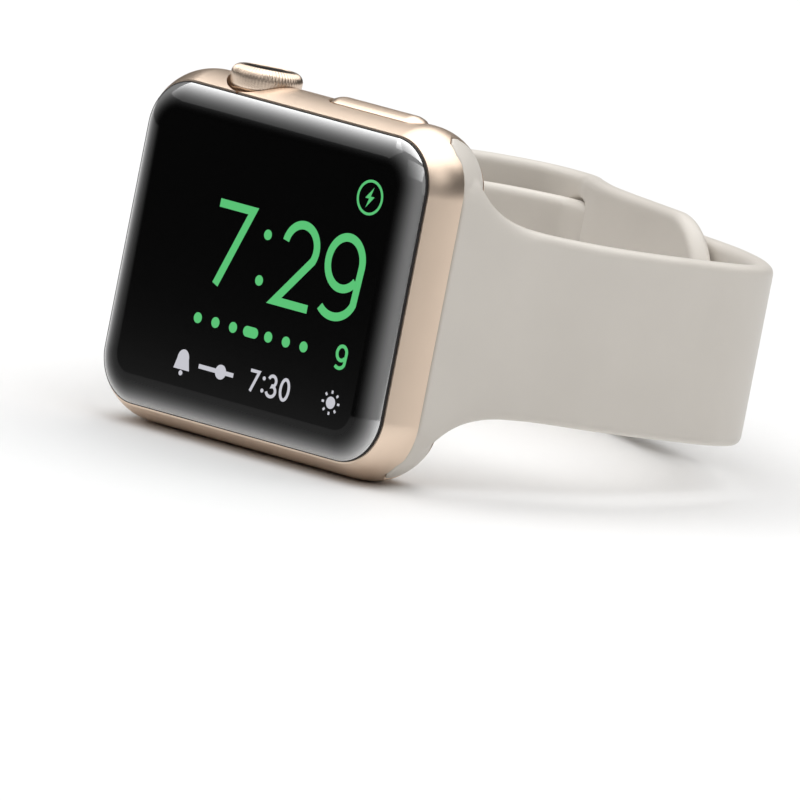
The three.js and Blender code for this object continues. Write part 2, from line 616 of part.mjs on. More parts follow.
// The lowest height a named piece reaches once the watch leans back by an angle.
function lowest(name, lean) {
  const place = watch.getObjectByName(name).geometry.attributes.position;
  let low = Infinity;
  for (let i = 0; i < place.count; i += 1) {
    low = Math.min(low, place.getY(i) * Math.cos(lean) + place.getZ(i) * Math.sin(lean));
  }
  return low;
}

// The lean at which the case's side and the strap's rear corner reach the table together.
function restingLean() {
  let low = 0;
  let high = 0.5;
  for (let i = 0; i < 40; i += 1) {
    const lean = (low + high) / 2;
    const strap = Math.min(lowest("strap_long", lean), lowest("strap_short", lean));
    if (strap > lowest("case_body", lean)) {
      low = lean;
    } else {
      high = lean;
    }
  }
  return low;
}

watch.rotation.x = Math.PI / 2 - restingLean();
watch.updateMatrixWorld(true);
const box = new THREE.Box3().setFromObject(watch, true);
const middle = box.getCenter(new THREE.Vector3());
watch.position.set(-middle.x, -middle.y, -box.min.z);

const smartwatch = new THREE.Group();
smartwatch.add(watch);
smartwatch.updateMatrixWorld(true);

export default smartwatch;
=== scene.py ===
"""The looks of a smartwatch that stands on its side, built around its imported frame.

Shapes are drawn in the watch's own axes, in millimetres: U runs towards the 6 o'clock strap, W
towards the crown and N out of the screen. WATCH_TO_WORLD then sets them in the frame.
"""

import math

import bmesh
import bpy
import numpy as np
from mathutils import Matrix, Vector
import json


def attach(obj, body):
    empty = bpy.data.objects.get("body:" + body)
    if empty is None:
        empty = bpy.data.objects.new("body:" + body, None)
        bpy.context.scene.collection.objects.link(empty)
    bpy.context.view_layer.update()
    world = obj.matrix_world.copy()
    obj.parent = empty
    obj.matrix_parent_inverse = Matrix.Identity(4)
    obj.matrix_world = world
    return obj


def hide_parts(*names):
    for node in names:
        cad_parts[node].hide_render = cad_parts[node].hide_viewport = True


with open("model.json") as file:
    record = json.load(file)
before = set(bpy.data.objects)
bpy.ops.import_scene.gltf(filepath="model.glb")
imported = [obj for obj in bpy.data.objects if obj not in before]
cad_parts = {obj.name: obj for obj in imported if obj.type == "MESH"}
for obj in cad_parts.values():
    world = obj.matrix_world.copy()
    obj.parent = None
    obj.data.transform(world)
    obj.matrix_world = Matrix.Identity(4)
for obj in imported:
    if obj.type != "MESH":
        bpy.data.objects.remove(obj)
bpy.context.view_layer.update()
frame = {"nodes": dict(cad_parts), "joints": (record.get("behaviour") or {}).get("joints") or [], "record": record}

# ---- driving dimensions, in millimetres: the frame's own, or close to them ----

SHELL = dict(half_u=16.51, half_w=13.46, corner=2.0, side=4.74, rise=5.65, mid_n=-4.3)
CASE = dict(top_n=-0.26, back_n=-9.0, cavity_n=-7.7, ledge_n=-8.2)
CAVITY = dict(half_u=16.2, half_w=15.3, corner=2.5)
SCREEN_OPENING = dict(half_u=17.9, half_w=15.2, corner=3.6, floor_n=-1.6)
BACK_OPENING = dict(half_u=16.2, half_w=13.4, corner=4)
BACK_POCKET = dict(half_u=17.5, half_w=14.5, corner=5)
BACK_COVER = dict(half_u=17.35, half_w=14.35, corner=4.85, outer_n=-9.1, inner_n=-8.5)
GLASS_BOTTOM = 0.05
SLOT = dict(
    floor_u=17.3, bulb_u=19.5, lip=0.6, front_chamfer=1.0, back_chamfer=0.3,
    top_n=-3.5, back_n=-8.15, mouth_top_n=-3.85, mouth_back_n=-7.75,
)
LUG_FIT = 0.08
MOUTH_FILL_U = 20.9
RELEASE = dict(
    u=18.25, half_length=3.2, half_width=0.62, outer_n=-9.15, inner_n=-8.72, edge=0.12, gap=0.1,
)
PLUNGER_PASSAGE = dict(from_u=17.5, to_u=19.0, from_w=-2.4, lip=0.35)
CORE = dict(from_u=16.4, to_u=19.2, half_length=8.0, from_n=-9.5, to_n=-5.2)
CROWN = dict(u=-8.7, w=18.0, n=-4.2, radius=3.68, bottom_w=16.9, top_w=19.5)
CROWN_RECESS = dict(radius=3.95, floor_w=16.4)
CROWN_BORE_RADIUS = 1.85
CROWN_SOCKET = dict(radius=1.1, top_w=18.5)
BUTTON = dict(u=7.5, n=-4.2, half_length=6.35, half_width=1.65, bottom_w=16.75)
BUTTON_BEVEL = dict(width=0.36, top_w=18.36, crest=0.36, break_edge=0.03)
BUTTON_POCKET = dict(gap=0.2, floor_w=16.3)
BUTTON_SEAL_POCKET = dict(half_u=2.1, half_n=1.2, corner=0.3, floor_w=15.5)
BUTTON_STEM = dict(half_u=1.5, half_n=0.6, corner=0.15, end_w=14.65)
BUTTON_BORE = dict(half_u=1.6, half_n=0.7, corner=0.2)
SPEAKER_SLOT = dict(half_length=2.6, half_width=0.55, places=(-9.4, -3.2))
MIC_HOLE = dict(radius=0.5, u=3.4)
SIDE_WALL_W = 14.3
OUTSIDE = 24.0
CRYSTAL = dict(radius=12.5, rim_n=-9.15, side_n=-9.08, apex_n=-10.05, inner_n=-8.55, gap=0.08)
WINDOW = dict(radius=2.5, ring=5.6, count=4, inner_n=-8.98, pocket_n=-8.9, gap=0.06)
STRAP = dict(thickness=2.4, root=2.0, gap=0.3)
FLARE = dict(reach=8.8, fade=2.9, most=4.9)
LONG = dict(middle=9.3, end=8.6, taper_from=66, taper_to=84, tip=7.5)
SHORT = dict(middle=10.3, end=11.3, taper_from=14, taper_to=60, tip=10)
HOLE = dict(radius=1.65, longer=0.35, pitch=7.6, before=2, after=4)
PIN = dict(radius=1.3, head=2.5, head_low=0.22, base=3.4, base_height=0.7, gap=0.12)
CLASP_DISTANCE = 78.3
MM = 0.001
TOP_N = SHELL["mid_n"] + SHELL["rise"]

JOINTS = {joint["name"]: joint for joint in frame["joints"]}
W_AXIS = Vector(JOINTS["crown_turn"]["axis"]).normalized()
N_AXIS = Vector(JOINTS["release_press_6"]["axis"]).normalized()
U_AXIS = W_AXIS.cross(N_AXIS)


def watch_to_world():
    """The frame's place for the watch's own axes, found from the crown's axis."""
    crown = Vector(JOINTS["crown_turn"]["pos_m"])
    origin = crown - MM * (CROWN["u"] * U_AXIS + CROWN["w"] * W_AXIS + CROWN["n"] * N_AXIS)
    axes = Matrix((U_AXIS, W_AXIS, N_AXIS)).transposed()
    return Matrix.Translation(origin) @ (axes * MM).to_4x4()


WATCH_TO_WORLD = watch_to_world()

# ---- mesh helpers ----

BEVEL_ANGLE = 35
AXIS_RADIUS = 0.003


def new_object(name, verts, faces):
    mesh = bpy.data.meshes.new(name)
    mesh.from_pydata([tuple(v) for v in verts], [], [tuple(f) for f in faces])
    mesh.update()
    obj = bpy.data.objects.new(name, mesh)
    bpy.context.scene.collection.objects.link(obj)
    return obj


def loft(name, rings, closed=False):
    """A closed mesh through rings of points. Its two ends are capped, unless they join up."""
    rings = np.asarray(rings, float)
    count, around = rings.shape[:2]
    verts = rings.reshape(-1, 3)
    faces = []
    for i in range(count if closed else count - 1):
        a, b = i * around, (i + 1) % count * around
        for j in range(around):
            k = (j + 1) % around
            faces.append((a + j, a + k, b + k, b + j))
    if not closed:
        faces.append(tuple(reversed(range(around))))
        faces.append(tuple(range((count - 1) * around, count * around)))
    obj = new_object(name, verts, faces)
    point_out(obj)
    return obj


def point_out(obj):
    """Turns every face outward."""
    bm = bmesh.new()
    bm.from_mesh(obj.data)
    bmesh.ops.recalc_face_normals(bm, faces=bm.faces)
    bm.to_mesh(obj.data)
    bm.free()


def settle(obj):
    """Makes the result of an object's modifiers its mesh."""
    graph = bpy.context.evaluated_depsgraph_get()
    mesh = bpy.data.meshes.new_from_object(obj.evaluated_get(graph), depsgraph=graph)
    old = obj.data
    obj.modifiers.clear()
    obj.data = mesh
    bpy.data.meshes.remove(old)
    return obj


def combine(obj, other, operation):
    """Joins, cuts or intersects an object with another, which is used up."""
    modifier = obj.modifiers.new("combine", "BOOLEAN")
    modifier.operation = operation
    modifier.solver = "EXACT"
    modifier.object = other
    settle(obj)
    bpy.data.objects.remove(other)
    return obj


def cut(obj, *cutters):
    for cutter in cutters:
        combine(obj, cutter, "DIFFERENCE")
    return obj


def bevel(obj, width, segments=2):
    """Bevels the edges that are sharper than BEVEL_ANGLE."""
    modifier = obj.modifiers.new("bevel", "BEVEL")
    modifier.width = width
    modifier.segments = segments
    modifier.limit_method = "ANGLE"
    modifier.angle_limit = math.radians(BEVEL_ANGLE)
    modifier.miter_outer = "MITER_ARC"
    return settle(obj)


def smooth_shade(obj, angle=30):
    """Smooth shading, with edges sharper than an angle kept hard."""
    mesh = obj.data
    mesh.shade_smooth()
    mesh.set_sharp_from_angle(angle=math.radians(angle))
    return obj


def smooth(value, low, high):
    """0 below a low value and 1 above a high one, with an eased step between."""
    t = min(max((value - low) / (high - low), 0), 1)
    return t * t * (3 - 2 * t)


def rounded_rectangle(half_x, half_y, radius, steps=8):
    """The outline of a rounded rectangle, anticlockwise from the middle of its right side."""
    points = []
    for quarter in range(4):
        middle = quarter * math.pi / 2
        sign_x = (1, -1, -1, 1)[quarter]
        sign_y = (1, 1, -1, -1)[quarter]
        centre = np.array([sign_x * (half_x - radius), sign_y * (half_y - radius)])
        for step in range(steps + 1):
            angle = middle + step / steps * math.pi / 2
            points.append(centre + radius * np.array([math.cos(angle), math.sin(angle)]))
    return np.array(points)


AXES = {
    "n": lambda x, y, z: (x, y, z),
    "w": lambda x, y, z: (x, z, y),
}


def prism(outline, start, end, axis="n", shift=(0, 0, 0)):
    """A prism of a flat outline between two stations on an axis, N or W. The outline lies in U
    and the other of the two."""
    place = AXES[axis]
    rings = [[np.add(place(x, y, z), shift) for x, y in outline] for z in (start, end)]
    return loft("prism", rings)


def block(low, high):
    (u0, w0, n0), (u1, w1, n1) = low, high
    outline = [(u0, w0), (u1, w0), (u1, w1), (u0, w1)]
    return prism(outline, n0, n1)


def plate(shape, start, end, steps=12):
    """A flat plate with round corners between two stations on N."""
    outline = rounded_rectangle(shape["half_u"], shape["half_w"], shape["corner"], steps)
    return prism(outline, start, end)


def circle(radius, count=64):
    angles = np.linspace(0, 2 * math.pi, count, endpoint=False)
    return radius * np.stack([np.cos(angles), np.sin(angles)], 1)


def pill(half_length, half_width, steps=12):
    """A rectangle with round ends."""
    return rounded_rectangle(half_length, half_width, half_width - 0.005, steps)


def turned(name, profile, axis="w", shift=(0, 0, 0), count=96):
    """A turned piece: its profile's points are a radius and a station along the axis."""
    place = AXES[axis]
    rings = []
    for radius, station in profile:
        outline = circle(max(radius, AXIS_RADIUS), count)
        rings.append([np.add(place(x, y, station), shift) for x, y in outline])
    return loft(name, rings)


def arc(centre, radius, start, end, count):
    """Points on an arc from one angle to another, in degrees."""
    angles = np.radians(np.linspace(start, end, count))
    return [(centre[0] + radius * math.cos(a), centre[1] + radius * math.sin(a)) for a in angles]


def mirror_u(obj):
    obj.data.transform(Matrix.Diagonal((-1, 1, 1, 1)))
    point_out(obj)
    return obj


def copy_of(obj):
    twin = obj.copy()
    twin.data = obj.data.copy()
    bpy.context.scene.collection.objects.link(twin)
    return twin


def finish_piece(obj, name, body, slot, *nodes, material=None):
    """Sets a finished shape in the frame, with its body, its slot and the CAD nodes it stands for.
    The slot gives the material, unless another is named."""
    obj.name = name
    obj.data.name = name
    obj.data.transform(WATCH_TO_WORLD)
    obj.data.materials.clear()
    obj.data.materials.append(material or MATERIALS[slot])
    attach(obj, body)
    if nodes:
        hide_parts(*nodes)
    return obj


# ---- materials ----


class Nodes:
    """A small helper that builds one material's nodes."""

    def __init__(self, name):
        self.material = bpy.data.materials.new(name)
        self.material.use_nodes = True
        self.tree = self.material.node_tree
        self.shader = self.tree.nodes["Principled BSDF"]
        self.coordinates = self.tree.nodes.new("ShaderNodeTexCoord").outputs["Object"]

    def set(self, **values):
        for name, value in values.items():
            self.shader.inputs[name.replace("_", " ")].default_value = value
        return self

    def noise(self, scale, detail=3, stretch=None):
        node = self.tree.nodes.new("ShaderNodeTexNoise")
        node.inputs["Scale"].default_value = scale
        node.inputs["Detail"].default_value = detail
        source = self.coordinates
        if stretch:
            mapping = self.tree.nodes.new("ShaderNodeMapping")
            mapping.inputs["Scale"].default_value = stretch
            self.tree.links.new(source, mapping.inputs["Vector"])
            source = mapping.outputs["Vector"]
        self.tree.links.new(source, node.inputs["Vector"])
        return node.outputs["Fac"]

    def ramp(self, factor, low, high, start=0.3, end=0.7):
        """Blends two values, numbers or colours, by a factor."""
        node = self.tree.nodes.new("ShaderNodeValToRGB")
        node.color_ramp.elements[0].position = start
        node.color_ramp.elements[1].position = end
        for element, value in zip(node.color_ramp.elements, (low, high)):
            element.color = value if isinstance(value, tuple) else (value, value, value, 1)
        self.tree.links.new(factor, node.inputs["Fac"])
        return node.outputs["Color"]

    def link(self, output, socket):
        self.tree.links.new(output, self.shader.inputs[socket])
        return self

    def along(self, axis, low, high):
        """0 to 1 between two points' stations along a direction."""
        dot = self.tree.nodes.new("ShaderNodeVectorMath")
        dot.operation = "DOT_PRODUCT"
        dot.inputs[1].default_value = axis
        self.tree.links.new(self.coordinates, dot.inputs[0])
        span = self.tree.nodes.new("ShaderNodeMapRange")
        span.inputs["From Min"].default_value = low.dot(axis)
        span.inputs["From Max"].default_value = high.dot(axis)
        self.tree.links.new(dot.outputs["Value"], span.inputs["Value"])
        return span.outputs["Result"]

    def power(self, value, exponent):
        """A value raised to a power."""
        node = self.tree.nodes.new("ShaderNodeMath")
        node.operation = "POWER"
        node.inputs[1].default_value = exponent
        self.tree.links.new(value, node.inputs[0])
        return node.outputs["Value"]

    def bump(self, height, strength, distance):
        node = self.tree.nodes.new("ShaderNodeBump")
        node.inputs["Strength"].default_value = strength
        node.inputs["Distance"].default_value = distance
        self.tree.links.new(height, node.inputs["Height"])
        self.tree.links.new(node.outputs["Normal"], self.shader.inputs["Normal"])
        return self


GRAIN_DEPTH = 0.02 * MM


def shade(colour, factor):
    return tuple(c * factor for c in colour) + (1,)


def finish(name, colour, roughness, metallic=0.0, spread=0.06, rough_spread=0.05, grain=9000,
           bump=0.12, cloud=220, stretch=None, **values):
    """A material whose colour clouds a little and whose roughness and surface have a fine grain."""
    nodes = Nodes(name)
    nodes.set(Metallic=metallic, **values)
    cloud_noise = nodes.noise(cloud, 4)
    clouded = nodes.ramp(cloud_noise, shade(colour, 1 - spread), shade(colour, 1 + spread))
    nodes.link(clouded, "Base Color")
    fine = nodes.noise(grain, 2, stretch)
    nodes.link(nodes.ramp(fine, roughness - rough_spread, roughness + rough_spread), "Roughness")
    nodes.bump(fine, bump, GRAIN_DEPTH)
    return nodes.material


def glass_finish():
    """Black glass whose curved rim, over the blackened edge, has a painted reflection: it is painted
    grey towards its edge, and made more metallic there, so that it also mirrors more than its flat middle.
    """
    nodes = Nodes("black_glass_painted_rim_reflection")
    nodes.set(IOR=1.45, **{"Specular IOR Level": 0.2})
    rim = WATCH_TO_WORLD @ Vector((0, 0, GLASS_BOTTOM))
    flat = WATCH_TO_WORLD @ Vector((0, 0, TOP_N))
    # Painted reflection: by height, the rim turns grey and more metallic towards its edge, a lighter band for the
    # curve's reflections.
    edge = nodes.power(nodes.along(N_AXIS, flat, rim), 1.6)
    nodes.link(nodes.ramp(edge, 0.0, 0.80, 0.0, 1.0), "Metallic")
    nodes.link(nodes.ramp(edge, 0.0015, 0.66, 0.0, 1.0), "Base Color")
    nodes.link(nodes.ramp(nodes.noise(9000, 2), 0.05, 0.07), "Roughness")
    return nodes.material


GOLD = (0.80, 0.645, 0.515)
MATERIALS = {
    "case_aluminium": finish(
        "anodised_aluminium", GOLD, 0.36, 1.0, spread=0.015, grain=14000, bump=0.1,
    ),
    "crown_aluminium": finish(
        "turned_aluminium", GOLD, 0.3, 1.0, spread=0.015, grain=14000, bump=0.06,
    ),
    "steel": finish("brushed_steel", (0.62, 0.62, 0.63), 0.32, 1.0, stretch=(1, 0.05, 1)),
    "pin_metal": finish("polished_pin", (0.80, 0.68, 0.56), 0.16, 1.0, spread=0.01, bump=0.03),
    "cover_glass": glass_finish(),
    "display": finish("display_black", (0.004, 0.004, 0.005), 0.25),
    "black_insert": finish(
        "black_ceramic_insert", (0.006, 0.006, 0.007), 0.4, **{"Specular IOR Level": 0.04},
    ),
    "seal": finish("black_seal", (0.006, 0.006, 0.006), 0.6),
    "strap_rubber": finish(
        "stone_elastomer", (0.66, 0.62, 0.565), 0.44, spread=0.02, grain=7000, bump=0.16, cloud=120,
        **{"Sheen Weight": 0.12, "Sheen Roughness": 0.4, "Specular IOR Level": 0.4},
    ),
    "back_ceramic": finish("composite_back", (0.60, 0.54, 0.47), 0.22, spread=0.02, bump=0.04),
    "crystal": finish("dark_crystal", (0.02, 0.02, 0.023), 0.06, rough_spread=0.02, bump=0.01),
    "sensor_glass": finish(
        "sensor_lens", (0.008, 0.014, 0.012), 0.05, rough_spread=0.02, bump=0.01,
    ),
    "board": finish("solder_mask", (0.02, 0.09, 0.045), 0.4, spread=0.2),
    "black_plastic": finish("moulded_black", (0.02, 0.02, 0.022), 0.5),
    "copper": finish("enamelled_copper", (0.72, 0.36, 0.2), 0.3, 1.0, stretch=(0.1, 0.1, 1)),
    "cell": finish("cell_foil", (0.20, 0.21, 0.23), 0.35, 0.6, spread=0.1),
    "tungsten": finish("sintered_weight", (0.30, 0.30, 0.31), 0.5, 1.0),
}


def lit(name, colour, strength):
    """A material for the lit figures: it glows, with a slight unevenness."""
    nodes = Nodes(name)
    nodes.set(Roughness=0.2)
    nodes.set(**{"Base Color": (0.01, 0.01, 0.01, 1), "Emission Strength": strength})
    grain = nodes.noise(16000, 1)
    nodes.link(nodes.ramp(grain, shade(colour, 0.94), shade(colour, 1.0)), "Emission Color")
    return nodes.material


LIT_GREEN = lit("lit_green", (0.085, 0.56, 0.17), 0.95)
LIT_WHITE = lit("lit_white", (0.55, 0.55, 0.60), 1.0)


def dress_frame():
    """Gives every CAD node its slot's material, whether it stays or is hidden."""
    for entry in frame["record"]["subparts"]:
        data = frame["nodes"][entry["node"]].data
        data.materials.clear()
        data.materials.append(MATERIALS[entry["material_slot"]])


# ---- case, seal and glass ----


def shell_ring(angle, steps=20, inset=0.0):
    """The envelope's outline where its side has turned by an angle, from -90 at the back to 90."""
    side = SHELL["side"] * math.cos(math.radians(angle)) - inset
    n = SHELL["mid_n"] + SHELL["rise"] * math.sin(math.radians(angle))
    halves = SHELL["half_u"] + side, SHELL["half_w"] + side
    outline = rounded_rectangle(*halves, SHELL["corner"] + side, steps)
    return [(u, w, n) for u, w in outline]


def shell_angle(n):
    return math.degrees(math.asin((n - SHELL["mid_n"]) / SHELL["rise"]))


def shell_between(name, low_n, high_n, rows, inset=0.0):
    angles = np.linspace(shell_angle(low_n), shell_angle(high_n), rows)
    return loft(name, [shell_ring(angle, inset=inset) for angle in angles])


def shell_normal(point):
    """(the envelope's outward normal, how far out of it a point lies)."""
    u, w, n = point
    core = (SHELL["half_u"] - SHELL["corner"], SHELL["half_w"] - SHELL["corner"])
    out = Vector([math.copysign(max(abs(x) - half, 0), x) for x, half in zip((u, w), core)])
    side = out.length - SHELL["corner"]
    rise = n - SHELL["mid_n"]
    across = side / SHELL["side"] ** 2
    up = rise / SHELL["rise"] ** 2
    if out.length < 1e-6:
        return Vector((0, 0, math.copysign(1, rise))), 1.0
    out.normalize()
    normal = Vector((out.x * across, out.y * across, up)).normalized()
    level = math.hypot(side / SHELL["side"], rise / SHELL["rise"]) - 1
    return normal, level * SHELL["side"]


def follow_shell(obj, tolerance=0.03):
    """Gives the faces that lie on the envelope its exact normals, so that cuts leave no ripples."""
    mesh = obj.data
    normals = [Vector((0, 0, 0))] * len(mesh.loops)
    for polygon in mesh.polygons:
        on_shell = []
        for index in polygon.vertices:
            normal, away = shell_normal(mesh.vertices[index].co)
            on_shell.append(abs(away) < tolerance and normal.dot(polygon.normal) > 0.9)
        if all(on_shell):
            for loop, index in zip(polygon.loop_indices, polygon.vertices):
                normals[loop] = shell_normal(mesh.vertices[index].co)[0]
    mesh.normals_split_custom_set([tuple(normal) for normal in normals])


def slot_outline(clearance, mouth_u):
    """The 6 o'clock strap slot's outline in U and N, drawn in by a clearance."""
    c = clearance
    s = SLOT
    neck_u = s["bulb_u"] + s["lip"]
    return [
        (s["floor_u"] + c + s["front_chamfer"], s["top_n"] - c),
        (s["bulb_u"] - c, s["top_n"] - c),
        (neck_u - c, s["mouth_top_n"] - c),
        (mouth_u, s["mouth_top_n"] - c),
        (mouth_u, s["mouth_back_n"] + c),
        (neck_u - c, s["mouth_back_n"] + c),
        (s["bulb_u"] - c, s["back_n"] + c),
        (s["floor_u"] + c + s["back_chamfer"], s["back_n"] + c),
        (s["floor_u"] + c, s["back_n"] + c + s["back_chamfer"]),
        (s["floor_u"] + c, s["top_n"] - c - s["front_chamfer"]),
    ]


def button_outline(grow):
    """The side button's outline in U and N, round its own middle."""
    return pill(BUTTON["half_length"] + grow, BUTTON["half_width"] + grow, 16)


def stem_outline(shape):
    return rounded_rectangle(shape["half_u"], shape["half_n"], shape["corner"], 4)


def release_outline(grow):
    """The 6 o'clock release button's outline in U and W."""
    swapped = pill(RELEASE["half_length"] + grow, RELEASE["half_width"] + grow)
    return [(y + RELEASE["u"], x) for x, y in swapped]


def make_case():
    case = shell_between("case", CASE["back_n"], CASE["top_n"], 44)
    crown = (CROWN["u"], 0, CROWN["n"])
    button = (BUTTON["u"], 0, BUTTON["n"])
    microphone = (MIC_HOLE["u"], 0, SHELL["mid_n"])
    cutters = [
        plate(SCREEN_OPENING, SCREEN_OPENING["floor_n"], TOP_N + 1),
        plate(CAVITY, CASE["cavity_n"], 0),
        plate(BACK_OPENING, CASE["ledge_n"] - 0.5, 0),
        plate(BACK_POCKET, CASE["back_n"] - 1, CASE["ledge_n"], steps=20),
        prism(circle(CROWN_RECESS["radius"]), CROWN_RECESS["floor_w"], OUTSIDE, "w", crown),
        prism(circle(CROWN_BORE_RADIUS, 32), SIDE_WALL_W, OUTSIDE, "w", crown),
        prism(button_outline(BUTTON_POCKET["gap"]), BUTTON_POCKET["floor_w"], OUTSIDE, "w", button),
        prism(
            stem_outline(BUTTON_SEAL_POCKET), BUTTON_SEAL_POCKET["floor_w"], OUTSIDE, "w", button,
        ),
        prism(stem_outline(BUTTON_BORE), SIDE_WALL_W, OUTSIDE, "w", button),
        prism(circle(MIC_HOLE["radius"], 24), -OUTSIDE, -SIDE_WALL_W, "w", microphone),
    ]
    speaker_slot = pill(SPEAKER_SLOT["half_length"], SPEAKER_SLOT["half_width"])
    for slot_u in SPEAKER_SLOT["places"]:
        at = (slot_u, 0, SHELL["mid_n"])
        cutters.append(prism(speaker_slot, -OUTSIDE, -SIDE_WALL_W, "w", at))
    passage = PLUNGER_PASSAGE
    into_slot = SLOT["back_n"] + 0.2
    for side in (1, -1):
        ends = [
            prism(slot_outline(0, OUTSIDE), -OUTSIDE, OUTSIDE, "w"),
            block(
                (passage["from_u"], passage["from_w"], SLOT["back_n"] - passage["lip"]),
                (passage["to_u"], OUTSIDE, into_slot),
            ),
            prism(release_outline(RELEASE["gap"]), CASE["back_n"] - 1, into_slot),
        ]
        cutters += ends if side > 0 else [mirror_u(end) for end in ends]
    cut(case, *cutters)
    bevel(case, 0.07, 2)
    smooth_shade(case)
    follow_shell(case)
    finish_piece(case, "case_shell", "case", "case_aluminium", "case_body")


def make_glass():
    """The glass follows the envelope from its eased lower edge up to its flat middle."""
    low = shell_angle(GLASS_BOTTOM)
    angles = np.concatenate([np.linspace(low, 84, 26), [87, 90]])
    rings = [[(u, w, n - 0.02) for u, w, n in shell_ring(low, inset=0.06)]]
    rings += [shell_ring(angle) for angle in angles]
    glass = loft("glass", rings)
    smooth_shade(glass, 40)
    follow_shell(glass)
    finish_piece(glass, "curved_glass", "case", "cover_glass", "cover_glass")


SEAL = dict(inset=0.05, width=1.25, gap=0.03)


def make_seal():
    """The thin dark ring between the case and the glass."""
    outer = shell_ring(shell_angle((GLASS_BOTTOM + CASE["top_n"]) / 2), inset=SEAL["inset"])
    inner = shell_ring(shell_angle(0), inset=SEAL["inset"] + SEAL["width"])
    low, high = CASE["top_n"] + SEAL["gap"], GLASS_BOTTOM - SEAL["gap"]
    rings = [
        [(u, w, low) for u, w, _ in outer],
        [(u, w, high) for u, w, _ in outer],
        [(u, w, high) for u, w, _ in inner],
        [(u, w, low) for u, w, _ in inner],
    ]
    seal = loft("seal", rings, closed=True)
    smooth_shade(seal)
    finish_piece(seal, "glass_seal", "case", "seal", "glass_gasket")


# ---- crown and buttons ----

KNURL = dict(teeth=64, depth=0.1, from_below=0.3, full_above=0.35, from_top=0.1)
RIM = dict(across=1.06, along=1.0, foot=0.6, waist=0.05)
DISC = dict(seat=0.42, bottom=0.4, top=0.12, edge=0.08, gap=0.02)


def crown_profile():
    """(the knob's radii and stations, from its bore to its middle; the lip's radius)."""
    radius, low, high = CROWN["radius"], CROWN["bottom_w"], CROWN["top_w"]
    foot = RIM["foot"]
    foot_middle = (radius - foot - RIM["waist"], low + foot)
    rim_start = high - RIM["along"]
    profile = [(CROWN_SOCKET["radius"], low), (foot_middle[0], low)]
    profile += arc(foot_middle, foot, -90, 0, 9)[1:]
    profile += [(radius - 0.015, rim_start - KNURL["from_below"]), (radius, rim_start)]
    for angle in np.radians(np.linspace(0, 86, 16))[1:]:
        inset = RIM["across"] * (1 - math.cos(angle))
        profile.append((radius - inset, rim_start + RIM["along"] * math.sin(angle)))
    lip = profile[-1][0]
    profile += [(lip - 0.04, high - 0.02), (lip - 0.07, high - 0.08)]
    profile += [(lip - 0.07, high - DISC["seat"]), (0, high - DISC["seat"])]
    return profile, lip


def make_crown():
    """The knob: a smooth barrel with a fine knurl on its upper rim."""
    u, n, top = CROWN["u"], CROWN["n"], CROWN["top_w"]
    rim_start = top - RIM["along"]
    knurl_low, knurl_full = rim_start - KNURL["from_below"], rim_start + KNURL["full_above"]
    angles = np.linspace(0, 2 * math.pi, KNURL["teeth"] * 6, endpoint=False)
    tooth = np.clip(np.cos(KNURL["teeth"] * angles) * 1.3, -1, 1) * 0.5 - 0.5
    profile, lip = crown_profile()
    rings = []
    for radius, w in profile:
        on_rim = smooth(w, knurl_low, knurl_full) * smooth(top - w, 0.0, KNURL["from_top"])
        if radius < lip + 0.02:
            on_rim = 0
        reach = np.maximum(radius + KNURL["depth"] * on_rim * tooth, AXIS_RADIUS)
        across, up = reach * np.cos(angles), reach * np.sin(angles)
        rings.append(np.stack([u + across, np.full(len(angles), w), n + up], 1))
    knob = loft("knob", rings)
    socket = circle(CROWN_SOCKET["radius"], 32)
    cut(knob, prism(socket, CROWN["bottom_w"] - 1, CROWN_SOCKET["top_w"], "w", (u, 0, n)))
    smooth_shade(knob, 40)
    finish_piece(knob, "crown_dial", "crown", "crown_aluminium", "crown_knob")


def make_crown_insert():
    """The black disc in the end of the knob, with an eased edge."""
    low, high = CROWN["top_w"] - DISC["bottom"], CROWN["top_w"] - DISC["top"]
    radius = CROWN["radius"] - RIM["across"] - DISC["gap"]
    edge = DISC["edge"]
    profile = [(0, low), (radius, low), (radius, high - edge)]
    profile += arc((radius - edge, high - edge), edge, 0, 90, 5)
    profile += [(0, high)]
    insert = turned("insert", profile, "w", (CROWN["u"], 0, CROWN["n"]))
    smooth_shade(insert)
    finish_piece(insert, "crown_disc", "crown", "black_insert", "crown_insert")


def make_side_button():
    """A pill with a bright flat bevel and a crowned top, on a stem."""
    b = BUTTON
    width, top = BUTTON_BEVEL["width"], BUTTON_BEVEL["top_w"]
    break_edge = BUTTON_BEVEL["break_edge"]
    levels = [(0, b["bottom_w"]), (0, top - width - break_edge), (0.02, top - width)]
    levels += [(width - break_edge, top - 0.02)]
    for across in np.linspace(width + break_edge, b["half_width"] - 0.04, 12):
        rise = 1 - ((b["half_width"] - across) / (b["half_width"] - width)) ** 2
        levels.append((across, top + BUTTON_BEVEL["crest"] * rise))
    rings = []
    for inset, w in levels:
        outline = pill(b["half_length"] - inset, b["half_width"] - inset, 20)
        rings.append([(b["u"] + x, w, b["n"] + y) for x, y in outline])
    cap = loft("cap", rings)
    stem = stem_outline(BUTTON_STEM)
    place = (b["u"], 0, b["n"])
    combine(cap, prism(stem, BUTTON_STEM["end_w"], b["bottom_w"] + 0.3, "w", place), "UNION")
    smooth_shade(cap, 22)
    finish_piece(cap, "side_button", "side_button", "case_aluminium", "side_button_cap")


def release_pill():
    """A release button lying along X, with its outer face up and a rounded upper edge."""
    edge, top = RELEASE["edge"], -RELEASE["outer_n"]
    levels = [(0, -RELEASE["inner_n"])]
    for angle in np.linspace(0, math.pi / 2, 9):
        levels.append((edge - edge * math.cos(angle), top - edge + edge * math.sin(angle)))
    levels.append((edge + 0.25, top))
    rings = []
    for inset, height in levels:
        outline = pill(RELEASE["half_length"] - inset, RELEASE["half_width"] - inset, 20)
        rings.append([(x, y, height) for x, y in outline])
    return loft("release", rings)


